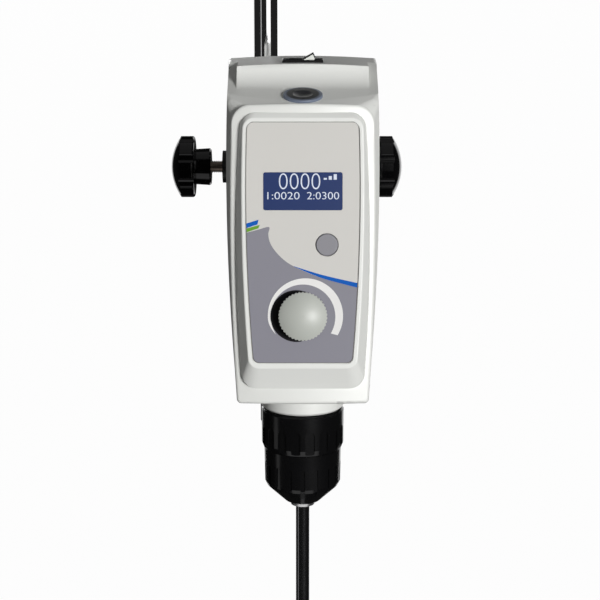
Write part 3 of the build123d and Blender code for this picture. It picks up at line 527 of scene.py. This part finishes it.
class STIRRER_OT_shell(bpy.types.Operator):
    """Run the housing shell up to the rounded edge of the front cover"""
    bl_idname = "stirrer.shell"
    bl_label = "Form the shell"

    def execute(self, context):
        values = context.scene.stirrer
        run = values.shell_slope
        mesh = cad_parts["rear_shell"].data.copy()
        weld(mesh)
        inner, outer = cover_loop(*COLLAR_INNER), cover_loop(*COLLAR_OUTER)
        near, past = COLLAR_FRONT, run + COLLAR_PAST
        rings = [[behind_front(u, v, -FRONT_DEPTH - d) for u, v in loop]
                 for loop, d in ((inner, near), (outer, near), (outer, past), (inner, past))]
        mesh = combine(mesh, loop_solid("collar", rings, closed=True), "UNION")
        rings = [[behind_front(u, v, -FRONT_DEPTH - (slopes * run + deep))
                  for u, v in cover_loop(grow, top_grow, low, corner)]
                 for grow, top_grow, low, corner, slopes, deep in SHELL_KEEP]
        mesh = combine(mesh, loop_solid("keep", rings), "INTERSECT")
        for vert in mesh.vertices:
            self.square_corner(vert)
            share = min(1.0, max(0.0, (vert.co.y + NARROW_FROM) / NARROW_RUN))
            vert.co.x *= values.shell_width + (1 - values.shell_width) * share
        self.place("housing_shell", mesh, "rear_shell")
        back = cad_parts["rear_plate"].data.copy()
        weld(back)
        for vert in back.vertices:
            self.square_corner(vert)
        self.place("housing_back", back, "rear_plate")
        return {"FINISHED"}

    def place(self, name, mesh, node):
        """Show the mesh on the head in place of a node."""
        mesh.materials.clear()
        mesh.materials.append(look("housing"))
        for poly in mesh.polygons:
            poly.material_index = 0
        piece = add_object(name, mesh)
        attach(piece, "head")
        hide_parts(node)

    def square_corner(self, vert):
        """Tighten the rounding along the two upper long edges of the housing."""
        x, y, z = (c / MM for c in vert.co)
        share = (y - SIDE_START) / SIDE_RUN
        bow = SIDE_BOW + SIDE_BOW_GAIN * share
        half = SIDE_HALF + SIDE_GAIN * share - bow * SIDE_ABOVE ** 2
        dx, dz = abs(x) - (half - EDGE_RADIUS), z - (EDGE_TOP - EDGE_RADIUS)
        reach = math.hypot(dx, dz)
        if dx <= 0 or dz <= 0 or not EDGE_NEAR < reach < EDGE_FAR or y < EDGE_START:
            return
        grow = ((dx / reach) ** EDGE_POWER + (dz / reach) ** EDGE_POWER) ** (-1 / EDGE_POWER)
        vert.co.x = math.copysign(half - EDGE_RADIUS + dx * grow, x) * MM
        vert.co.z = (EDGE_TOP - EDGE_RADIUS + dz * grow) * MM


class STIRRER_OT_panel_print(bpy.types.Operator):
    """Print the two-tone field, stripes, tabs and dial arc on the panel sheet, with a painted shadow
    of the knob beside it
    """
    bl_idname = "stirrer.panel_print"
    bl_label = "Print the panel"

    def execute(self, context):
        gap = context.scene.stirrer.edge_gap

        def edge(v, side):
            return side * (sheet_half(v) - gap)

        def corner(side, start):
            cv = SHEET_LOW + gap + SHEET_CORNER
            cx = side * (sheet_half(cv) - gap - SHEET_CORNER)
            turns = range(0, 91, CORNER_STEP) if start else range(90, -1, -CORNER_STEP)
            return [(cx + side * SHEET_CORNER * math.cos(math.radians(t)),
                     cv - SHEET_CORNER * math.sin(math.radians(t))) for t in turns]

        def tab(high, upper, lower, foot):
            return [(edge(foot, -1), foot), lower, upper, (edge(high, -1), high)]

        field_end = (edge(FIELD_RIGHT, 1), FIELD_RIGHT)
        crest = smooth_run([(edge(FIELD_LEFT, -1), FIELD_LEFT), *FIELD_CREST, field_end])
        right = [(edge(v, 1), v) for v in (60, 54, 48, 42, 36, 31, 28)]
        left = [(edge(v, -1), v) for v in (28, 31, *range(36, 91, 6))]
        field = crest + right + corner(1, True) + corner(-1, False) + left
        flat_print("print_field", field, "print_grey", lift=0.03)
        upper_end = (edge(STRIPE_UPPER_END, 1), STRIPE_UPPER_END)
        strip_print("print_stripe", smooth_run([*STRIPE_UNDER, field_end]),
                    smooth_run([*STRIPE_UPPER, upper_end]), "print_blue")
        flat_print("print_tab_blue", tab(*TAB_BLUE), "print_blue", lift=0.06)
        flat_print("print_tab_green", tab(*TAB_GREEN), "print_green", lift=0.06)
        outer, inner = [], []
        for i in range(ARC_PARTS + 1):
            a = ARC_START + i * (ARC_END - ARC_START) / ARC_PARTS
            taper = TAIL_THIN * max(0.0, (math.degrees(a) - TAIL_FROM) / TAIL_RUN) ** TAIL_CURVE
            for edge_run, (x, v, radius), thin in ((outer, ARC_OUT, taper), (inner, ARC_IN, 0.0)):
                edge_run.append((x + (radius - thin) * math.cos(a), v + (radius - thin) * math.sin(a)))
        strip_print("print_arc", inner, outer, "print_white")
        # painted shadow: a black disc left of the knob, standing in for the knob's cast shadow
        turns = [i * math.pi / (SHADE_PARTS / 2) for i in range(SHADE_PARTS)]
        disc = [(SHADE_X + SHADE_RADIUS * math.cos(a), SHADE_V + SHADE_RADIUS * math.sin(a))
                for a in turns]
        flat_print("painted_knob_shadow", disc, "knob_shadow_black", lift=0.09)
        strip_print("print_edge", *(sheet_border(gap) for gap in DARK_EDGE), "print_edge", lift=0.08)
        return {"FINISHED"}


def digit_mesh(text, x, v, width, height, offset):
    """Digits as flat strokes: their lower left corner at x, v, drawn to a width and a height."""
    curve = bpy.data.curves.new("digits", "FONT")
    curve.body = text
    curve.resolution_u = 6
    curve.extrude = 0.01
    curve.offset = offset
    source = add_object("digits", curve)
    mesh = evaluated_mesh(source)
    bpy.data.objects.remove(source)
    xs = [p.co.x for p in mesh.vertices]
    ys = [p.co.y for p in mesh.vertices]
    for p in mesh.vertices:
        u = x + (p.co.x - min(xs)) * width / (max(xs) - min(xs))
        w = v + (p.co.y - min(ys)) * height / (max(ys) - min(ys))
        p.co = on_panel(u, w, PANE_TOP + (STROKE if p.co.z > 0 else 0.0))
    return mesh


class STIRRER_OT_digits(bpy.types.Operator):
    """Show plain digits and a bar mark on the display"""
    bl_idname = "stirrer.digits"
    bl_label = "Show digits"

    def execute(self, context):
        values = context.scene.stirrer
        texts = (f"{values.speed:04d}", f"1:{values.left_value:04d}", f"2:{values.right_value:04d}")
        for i, (text, row) in enumerate(zip(texts, DIGIT_ROWS)):
            mesh = digit_mesh(text, *row)
            mesh.materials.clear()
            mesh.materials.append(look("display_digit"))
            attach(add_object(f"display_digits_{i + 1}", mesh), "head")
        verts, faces = [], []
        for i in range(BARS):
            start = len(verts)
            x, high = BAR_X + BAR_PITCH * i, BAR_V + (BAR_STEP + BAR_STEP * i)
            for lift in (STROKE, 0.0):
                verts += [on_panel(a, b, PANE_TOP + lift) for a, b in
                          ((x, BAR_V), (x + BAR_WIDTH, BAR_V), (x + BAR_WIDTH, high), (x, high))]
            faces += [tuple(start + k for k in (0, 1, 2, 3)), tuple(start + k for k in (7, 6, 5, 4))]
            faces += [tuple(start + k for k in (a, a + 4, (a + 1) % 4 + 4, (a + 1) % 4))
                      for a in range(4)]
        new_piece("display_marks", verts, faces, "display_digit")
        return {"FINISHED"}


def thread_tree():
    """Geometry Nodes: a run of thread crests along a line, realised with its material."""
    name = "thread_run"
    if name in bpy.data.node_groups:
        return bpy.data.node_groups[name]
    tree = bpy.data.node_groups.new(name, "GeometryNodeTree")
    tree.interface.new_socket("Geometry", in_out="INPUT", socket_type="NodeSocketGeometry")
    for label, value in THREAD:
        kind = "NodeSocketInt" if label == "Count" else "NodeSocketFloat"
        tree.interface.new_socket(label, in_out="INPUT", socket_type=kind).default_value = value
    tree.interface.new_socket("Material", in_out="INPUT", socket_type="NodeSocketMaterial")
    tree.interface.new_socket("Geometry", in_out="OUTPUT", socket_type="NodeSocketGeometry")
    nodes, links = tree.nodes, tree.links
    inp, out = nodes.new("NodeGroupInput"), nodes.new("NodeGroupOutput")
    ring = nodes.new("GeometryNodeCurvePrimitiveCircle")
    ring.inputs["Resolution"].default_value = THREAD_SIDES
    links.new(inp.outputs["Radius"], ring.inputs["Radius"])
    section = nodes.new("GeometryNodeCurvePrimitiveCircle")
    section.inputs["Resolution"].default_value = CREST_SIDES
    section.inputs["Radius"].default_value = CREST_RADIUS
    crest = nodes.new("GeometryNodeCurveToMesh")
    links.new(ring.outputs["Curve"], crest.inputs["Curve"])
    links.new(section.outputs["Curve"], crest.inputs["Profile Curve"])
    line = nodes.new("GeometryNodeMeshLine")
    links.new(inp.outputs["Count"], line.inputs["Count"])
    step = nodes.new("ShaderNodeCombineXYZ")
    links.new(inp.outputs["Pitch"], step.inputs["Z"])
    links.new(step.outputs[0], line.inputs["Offset"])
    begin = nodes.new("ShaderNodeCombineXYZ")
    links.new(inp.outputs["Start"], begin.inputs["Z"])
    links.new(begin.outputs[0], line.inputs["Start Location"])
    copies = nodes.new("GeometryNodeInstanceOnPoints")
    links.new(line.outputs["Mesh"], copies.inputs["Points"])
    links.new(crest.outputs["Mesh"], copies.inputs["Instance"])
    real = nodes.new("GeometryNodeRealizeInstances")
    links.new(copies.outputs["Instances"], real.inputs["Geometry"])
    paint = nodes.new("GeometryNodeSetMaterial")
    links.new(real.outputs["Geometry"], paint.inputs["Geometry"])
    links.new(inp.outputs["Material"], paint.inputs["Material"])
    links.new(paint.outputs["Geometry"], out.inputs["Geometry"])
    return tree


class STIRRER_OT_threads(bpy.types.Operator):
    """Run thread crests along the two clamp screws"""
    bl_idname = "stirrer.threads"
    bl_label = "Thread the screws"

    def execute(self, context):
        screws = (("rod_clamp_stud", "rod_screw", -1), ("arm_clamp_stud", "arm_screw", 1))
        for node, body, side in screws:
            lo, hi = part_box(node)
            y, z = (lo[1] + hi[1]) / 2, (lo[2] + hi[2]) / 2
            face = BOSS_FACE[side]
            carrier = add_object("thread_source", bpy.data.meshes.new("thread_source"))
            mod = carrier.modifiers.new("thread", "NODES")
            mod.node_group = thread_tree()
            sockets = mod.node_group.interface.items_tree
            keys = {s.name: s.identifier for s in sockets if s.in_out == "INPUT"}
            for label, value in (*THREAD, ("Material", look("screw_dark"))):
                mod[keys[label]] = value
            mesh = evaluated_mesh(carrier)
            bpy.data.objects.remove(carrier)
            for vert in mesh.vertices:
                a, b, c = vert.co
                vert.co = (face + side * c, y + a, z + b)
            if side < 0:
                mesh.flip_normals()
            for poly in mesh.polygons:
                poly.use_smooth = True
            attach(add_object(f"{node}_thread", mesh), body)
        return {"FINISHED"}


class STIRRER_OT_rocker_mark(bpy.types.Operator):
    """Set the pale side piece in the raised half of the rocker"""
    bl_idname = "stirrer.rocker_mark"
    bl_label = "Mark the rocker"

    def execute(self, context):
        c, d = math.cos(math.radians(ROCKER_TILT)), math.sin(math.radians(ROCKER_TILT))
        verts = []
        for y in (ROCKER_Y - ROCKER_SIDE - MARK_OUT, ROCKER_Y - ROCKER_SIDE + MARK_IN):
            verts += [Vector(((x * c - z * d) * MM, y * MM, (ROCKER_Z + x * d + z * c) * MM))
                      for x, z in ROCKER_MARK]
        n = len(ROCKER_MARK)
        faces = [tuple(range(n))[::-1], tuple(range(n, 2 * n))]
        faces += [(i, (i + 1) % n, (i + 1) % n + n, i + n) for i in range(n)]
        piece = new_piece("rocker_mark", verts, faces, "rocker_mark", "switch_rocker")
        piece.data.flip_normals()
        return {"FINISHED"}


# ------------------------------------------------------------------ stage
def white_for_sight(tree, plain, sight):
    """Mix node that shows the second shader to camera, glossy and transmission rays."""
    nodes, links = tree.nodes, tree.links
    path = nodes.new("ShaderNodeLightPath")
    first = nodes.new("ShaderNodeMath")
    first.operation = "MAXIMUM"
    links.new(path.outputs["Is Camera Ray"], first.inputs[0])
    links.new(path.outputs["Is Glossy Ray"], first.inputs[1])
    second = nodes.new("ShaderNodeMath")
    second.operation = "MAXIMUM"
    links.new(first.outputs[0], second.inputs[0])
    links.new(path.outputs["Is Transmission Ray"], second.inputs[1])
    mix = nodes.new("ShaderNodeMixShader")
    links.new(second.outputs[0], mix.inputs[0])
    links.new(plain, mix.inputs[1])
    links.new(sight, mix.inputs[2])
    return mix


FLOOR_HALF, FLOOR_LEVEL, FLOOR_SOFT = 80.0, -0.235, 0.025
FLOOR_LIGHT, FLOOR_ROUGH, FLOOR_DIM = 0.85, 0.9, 0.12
WORLD_DIM = 0.09
# direction of the light's source, power, angle in degrees
LAMPS = (("key_sun", (0.45, -0.88, 0.12), 2.9, 14.0),
         ("fill_sun", (-0.78, -0.62, 0.02), 0.28, 20.0),
         ("back_sun", (-0.25, 0.95, 0.06), 2.3, 20.0))
CAMERA_PLACE, CAMERA_PITCH, CAMERA_LENS = (-0.00157, -0.87524, 0.24492), 90.0 - 12.5, 94.26
TENT_RADIUS, TENT_RINGS, TENT_TURNS, TENT_DARK = 3.0, 24, 48, 0.015
# azimuth from, to and softness in degrees, height from, to and softness as a share of the
# radius, then strength
TENT_STRIPS = (
    (6.0, 46.0, 2.0, -0.12, 0.75, 0.05, 1.4),
    (-53.0, -46.0, 1.5, -0.12, 0.6, 0.05, 0.55),
    (-86.0, -74.0, 2.0, -0.6, -0.25, 0.04, 0.5),
    (-60.0, 60.0, 5.0, -0.97, -0.6, 0.04, 0.7),
    (146.0, 172.0, 2.0, -0.5, 0.7, 0.05, 1.2),
    (-168.0, -154.0, 2.0, -0.5, 0.7, 0.05, 0.9),
    (-200.0, 200.0, 5.0, 0.86, 1.2, 0.06, 0.25),
)


class STIRRER_OT_stage(bpy.types.Operator):
    """Set the floor, the light, the world and the camera"""
    bl_idname = "stirrer.stage"
    bl_label = "Set the stage"

    def execute(self, context):
        scene = context.scene
        self.floor()
        self.world(scene)
        self.tent()
        for lamp in LAMPS:
            self.lamp(*lamp)
        self.camera(scene)
        scene.view_settings.view_transform = "Standard"
        return {"FINISHED"}

    def floor(self):
        """Floor that looks white and lights the part only a little."""
        corners = ((-1, -1), (1, -1), (1, 1), (-1, 1))
        mesh = bpy.data.meshes.new("floor")
        mesh.from_pydata([(x * FLOOR_HALF, y * FLOOR_HALF, FLOOR_LEVEL) for x, y in corners],
                         [], [(0, 1, 2, 3)])
        floor = add_object("floor", mesh)
        paint = bpy.data.materials.new("floor_white")
        paint.use_nodes = True
        tree = paint.node_tree
        bsdf = tree.nodes["Principled BSDF"]
        bsdf.inputs["Base Color"].default_value = (FLOOR_LIGHT, FLOOR_LIGHT, FLOOR_LIGHT, 1.0)
        bsdf.inputs["Roughness"].default_value = FLOOR_ROUGH
        glow = tree.nodes.new("ShaderNodeEmission")
        glow.inputs["Strength"].default_value = 1.0
        soft = tree.nodes.new("ShaderNodeMixShader")
        soft.inputs[0].default_value = FLOOR_SOFT
        tree.links.new(glow.outputs[0], soft.inputs[1])
        tree.links.new(bsdf.outputs[0], soft.inputs[2])
        dim = tree.nodes.new("ShaderNodeBsdfDiffuse")
        dim.inputs["Color"].default_value = (FLOOR_DIM, FLOOR_DIM, FLOOR_DIM, 1.0)
        mix = white_for_sight(tree, dim.outputs[0], soft.outputs[0])
        tree.links.new(mix.outputs[0], tree.nodes["Material Output"].inputs["Surface"])
        mesh.materials.append(paint)
        floor.visible_glossy = False

    def tent(self):
        """Dark studio tent with bright strips, seen only in reflections."""
        mesh = bpy.data.meshes.new("tent")
        turns = [2 * math.pi * k / TENT_TURNS for k in range(TENT_TURNS)]
        verts = []
        for i in range(TENT_RINGS + 1):
            e = math.pi * (i / TENT_RINGS - 0.5)
            across, high = TENT_RADIUS * math.cos(e), TENT_RADIUS * math.sin(e)
            verts += [(across * math.sin(a), -across * math.cos(a), high) for a in turns]
        faces = []
        for i in range(TENT_RINGS):
            a, b = i * TENT_TURNS, (i + 1) * TENT_TURNS
            faces += [(a + k, a + (k + 1) % TENT_TURNS, b + (k + 1) % TENT_TURNS, b + k)
                      for k in range(TENT_TURNS)]
        mesh.from_pydata(verts, [], faces)
        tent = add_object("tent", mesh)
        mesh.materials.append(self.tent_paint())
        for sort in ("camera", "diffuse", "transmission", "volume_scatter", "shadow"):
            setattr(tent, f"visible_{sort}", False)

    def tent_paint(self):
        """Emission by direction: a dark tent with strips from azimuth and height bands."""
        paint = bpy.data.materials.new("tent_dark")
        paint.use_nodes = True
        tree = paint.node_tree
        nodes, links = tree.nodes, tree.links
        nodes.remove(nodes["Principled BSDF"])
        place = nodes.new("ShaderNodeTexCoord")
        split = nodes.new("ShaderNodeSeparateXYZ")
        links.new(place.outputs["Object"], split.inputs[0])

        def math_node(kind, a, b=None):
            node = nodes.new("ShaderNodeMath")
            node.operation = kind
            for slot, value in zip(node.inputs, (a, b)):
                if value is None:
                    continue
                if isinstance(value, (int, float)):
                    slot.default_value = value
                else:
                    links.new(value, slot)
            return node.outputs[0]

        toward = math_node("MULTIPLY", split.outputs["Y"], -1.0)
        azimuth = math_node("ARCTAN2", split.outputs["X"], toward)
        height = math_node("DIVIDE", split.outputs["Z"], TENT_RADIUS)

        def band(value, low, high, soft):
            rise = nodes.new("ShaderNodeMapRange")
            rise.interpolation_type = "SMOOTHSTEP"
            fall = nodes.new("ShaderNodeMapRange")
            fall.interpolation_type = "SMOOTHSTEP"
            for node, a, b in ((rise, low - soft, low + soft), (fall, high + soft, high - soft)):
                links.new(value, node.inputs["Value"])
                node.inputs["From Min"].default_value = a
                node.inputs["From Max"].default_value = b
            return math_node("MULTIPLY", rise.outputs["Result"], fall.outputs["Result"])

        total = None
        for low, high, soft, z_low, z_high, z_soft, power in TENT_STRIPS:
            across = band(azimuth, math.radians(low), math.radians(high), math.radians(soft))
            up = band(height, z_low, z_high, z_soft)
            glow = math_node("MULTIPLY", math_node("MULTIPLY", across, up), power)
            total = glow if total is None else math_node("ADD", total, glow)
        total = math_node("ADD", total, TENT_DARK)
        emit = nodes.new("ShaderNodeEmission")
        links.new(total, emit.inputs["Strength"])
        links.new(emit.outputs[0], nodes["Material Output"].inputs["Surface"])
        return paint

    def world(self, scene):
        """Dim light from all round behind a background that looks white."""
        world = bpy.data.worlds.new("studio")
        scene.world = world
        world.use_nodes = True
        tree = world.node_tree
        nodes, links = tree.nodes, tree.links
        plain = nodes["Background"]
        plain.inputs["Color"].default_value = (1, 1, 1, 1)
        plain.inputs["Strength"].default_value = WORLD_DIM
        white = nodes.new("ShaderNodeBackground")
        white.inputs["Color"].default_value = (1, 1, 1, 1)
        white.inputs["Strength"].default_value = 1.0
        mix = white_for_sight(tree, plain.outputs[0], white.outputs[0])
        links.new(mix.outputs[0], nodes["World Output"].inputs["Surface"])

    def lamp(self, name, toward, power, angle):
        data = bpy.data.lights.new(name, "SUN")
        data.energy = power
        data.angle = math.radians(angle)
        lamp = add_object(name, data)
        lamp.rotation_mode = "QUATERNION"
        lamp.rotation_quaternion = Vector(toward).to_track_quat("Z", "Y")

    def camera(self, scene):
        data = bpy.data.cameras.new("camera")
        data.lens = CAMERA_LENS
        data.sensor_width = 36.0
        data.clip_start, data.clip_end = 0.01, 50.0
        camera = add_object("camera", data)
        camera.location = CAMERA_PLACE
        camera.rotation_euler = (math.radians(CAMERA_PITCH), 0.0, 0.0)
        scene.camera = camera


class STIRRER_PT_panel(bpy.types.Panel):
    bl_idname = "STIRRER_PT_panel"
    bl_label = "Stirrer"
    bl_space_type = "VIEW_3D"
    bl_region_type = "UI"
    bl_category = "Stirrer"

    def draw(self, context):
        for name in ("speed", "left_value", "right_value", "shell_slope", "shell_width", "edge_gap"):
            self.layout.prop(context.scene.stirrer, name)
        for step in STEPS:
            self.layout.operator(f"stirrer.{step}")


STEPS = ("dress", "shell", "panel_print", "digits", "threads", "rocker_mark", "stage")
CLASSES = (StirrerSettings, STIRRER_OT_dress, STIRRER_OT_shell, STIRRER_OT_panel_print,
           STIRRER_OT_digits, STIRRER_OT_threads, STIRRER_OT_rocker_mark, STIRRER_OT_stage,
           STIRRER_PT_panel)


def register():
    for cls in CLASSES:
        bpy.utils.register_class(cls)
    bpy.types.Scene.stirrer = bpy.props.PointerProperty(type=StirrerSettings)


def unregister():
    del bpy.types.Scene.stirrer
    for cls in reversed(CLASSES):
        bpy.utils.unregister_class(cls)


def main():
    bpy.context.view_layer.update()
    register()
    for step in STEPS:
        getattr(bpy.ops.stirrer, step)()


if __name__ == "__main__":
    main()
